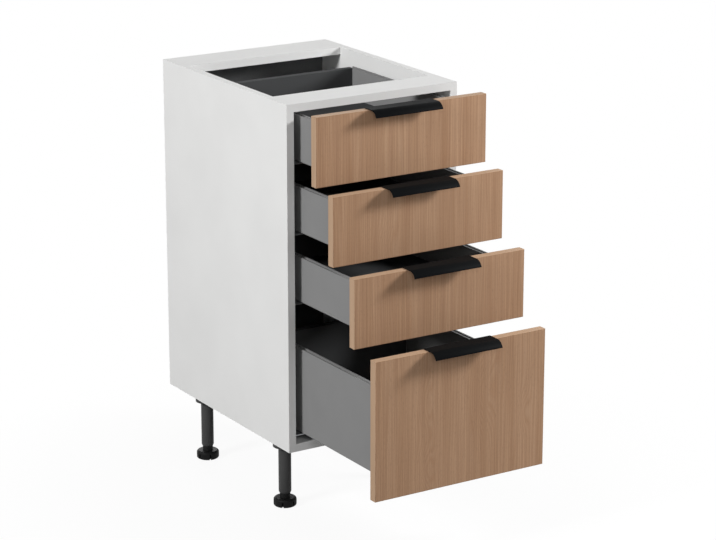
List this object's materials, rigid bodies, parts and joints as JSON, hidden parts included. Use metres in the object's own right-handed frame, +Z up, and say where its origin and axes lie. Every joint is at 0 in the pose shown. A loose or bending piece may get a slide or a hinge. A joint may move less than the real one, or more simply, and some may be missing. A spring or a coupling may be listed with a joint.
{
  "type": "base cabinet with drawers",
  "caption": "Kitchen base cabinet on adjustable legs, with sliding drawers on runners, wood-look fronts and edge-pull handles.",
  "frame": {"origin": "on the floor, in the middle of the cabinet's outer box with the drawers open as they rest", "axes": "+Z up, -Y towards the front of the drawers, +X to the right seen from the front"},
  "size_m": [0.4, 0.8563, 0.87],
  "materials": {
    "carcass_board": "white melamine-faced chipboard, satin",
    "back_board": "graphite lacquered hardboard, raw at the rear",
    "front_board": "light oak melamine, vertical grain",
    "drawer_board": "graphite melamine-faced chipboard",
    "drawer_metal": "grey powder coat",
    "runner_metal": "zinc-plated steel",
    "handle": "black anodised, satin",
    "leg": "black moulded plastic",
    "foot": "black moulded plastic",
    "dowel": "plain beech",
    "fixings": "zinc-plated"
  },
  "bodies": {
    "carcass": {"side_panel_left": "carcass_board", "side_panel_right": "carcass_board", "bottom_panel": "carcass_board", "front_rail": "carcass_board", "rear_rail": "carcass_board", "back_panel": "back_board", "dowels": "dowel", "cam_housings": "fixings", "cam_bolts": "fixings", "leg_sockets": "leg", "leg_screws": "fixings", "rail_screws": "fixings", "leg_tube_front_left": "leg", "leg_tube_front_right": "leg", "leg_tube_rear_left": "leg", "leg_tube_rear_right": "leg", "runner_rails_1": "runner_metal", "runner_rails_2": "runner_metal", "runner_rails_3": "runner_metal", "runner_rails_4": "runner_metal"},
    "drawer_1": {"drawer_front_1": "front_board", "handle_1": "handle", "drawer_side_left_1": "drawer_metal", "drawer_side_right_1": "drawer_metal", "drawer_base_1": "drawer_board", "drawer_back_1": "drawer_board", "box_fixings_1": "fixings", "runner_carriers_1": "runner_metal"},
    "middle_1": {"runner_middle_1": "runner_metal"},
    "drawer_2": {"drawer_front_2": "front_board", "handle_2": "handle", "drawer_side_left_2": "drawer_metal", "drawer_side_right_2": "drawer_metal", "drawer_base_2": "drawer_board", "drawer_back_2": "drawer_board", "box_fixings_2": "fixings", "runner_carriers_2": "runner_metal"},
    "middle_2": {"runner_middle_2": "runner_metal"},
    "drawer_3": {"drawer_front_3": "front_board", "handle_3": "handle", "drawer_side_left_3": "drawer_metal", "drawer_side_right_3": "drawer_metal", "drawer_base_3": "drawer_board", "drawer_back_3": "drawer_board", "box_fixings_3": "fixings", "runner_carriers_3": "runner_metal"},
    "middle_3": {"runner_middle_3": "runner_metal"},
    "drawer_4": {"drawer_front_4": "front_board", "handle_4": "handle", "drawer_side_left_4": "drawer_metal", "drawer_side_right_4": "drawer_metal", "drawer_base_4": "drawer_board", "drawer_back_4": "drawer_board", "box_fixings_4": "fixings", "runner_carriers_4": "runner_metal"},
    "middle_4": {"runner_middle_4": "runner_metal"},
    "foot_front_left": {"leg_foot_front_left": "foot"},
    "foot_front_right": {"leg_foot_front_right": "foot"},
    "foot_rear_left": {"leg_foot_rear_left": "foot"},
    "foot_rear_right": {"leg_foot_rear_right": "foot"}
  },
  "joints": [
    {"name": "drawer_1_slide", "type": "slide", "parent": "carcass", "child": "drawer_1", "axis": [0, -1, 0], "range_m": [-0.087, 0.343]},
    {"name": "middle_1_slide", "type": "slide", "parent": "carcass", "child": "middle_1", "axis": [0, -1, 0], "range_m": [-0.0435, 0.1715]},
    {"name": "drawer_2_slide", "type": "slide", "parent": "carcass", "child": "drawer_2", "axis": [0, -1, 0], "range_m": [-0.1485, 0.2815]},
    {"name": "middle_2_slide", "type": "slide", "parent": "carcass", "child": "middle_2", "axis": [0, -1, 0], "range_m": [-0.07425, 0.14075]},
    {"name": "drawer_3_slide", "type": "slide", "parent": "carcass", "child": "drawer_3", "axis": [0, -1, 0], "range_m": [-0.2255, 0.2045]},
    {"name": "middle_3_slide", "type": "slide", "parent": "carcass", "child": "middle_3", "axis": [0, -1, 0], "range_m": [-0.11275, 0.10225]},
    {"name": "drawer_4_slide", "type": "slide", "parent": "carcass", "child": "drawer_4", "axis": [0, -1, 0], "range_m": [-0.3005, 0.1295]},
    {"name": "middle_4_slide", "type": "slide", "parent": "carcass", "child": "middle_4", "axis": [0, -1, 0], "range_m": [-0.15025, 0.06475]},
    {"name": "foot_front_left_height", "type": "slide", "parent": "carcass", "child": "foot_front_left", "axis": [0, 0, -1], "range_m": [-0.01, 0.02]},
    {"name": "foot_front_right_height", "type": "slide", "parent": "carcass", "child": "foot_front_right", "axis": [0, 0, -1], "range_m": [-0.01, 0.02]},
    {"name": "foot_rear_left_height", "type": "slide", "parent": "carcass", "child": "foot_rear_left", "axis": [0, 0, -1], "range_m": [-0.01, 0.02]},
    {"name": "foot_rear_right_height", "type": "slide", "parent": "carcass", "child": "foot_rear_right", "axis": [0, 0, -1], "range_m": [-0.01, 0.02]}
  ],
  "couplings": [
    {"joint": "middle_1_slide", "follows": "drawer_1_slide", "ratio": 0.5},
    {"joint": "middle_2_slide", "follows": "drawer_2_slide", "ratio": 0.5},
    {"joint": "middle_3_slide", "follows": "drawer_3_slide", "ratio": 0.5},
    {"joint": "middle_4_slide", "follows": "drawer_4_slide", "ratio": 0.5}
  ]
}
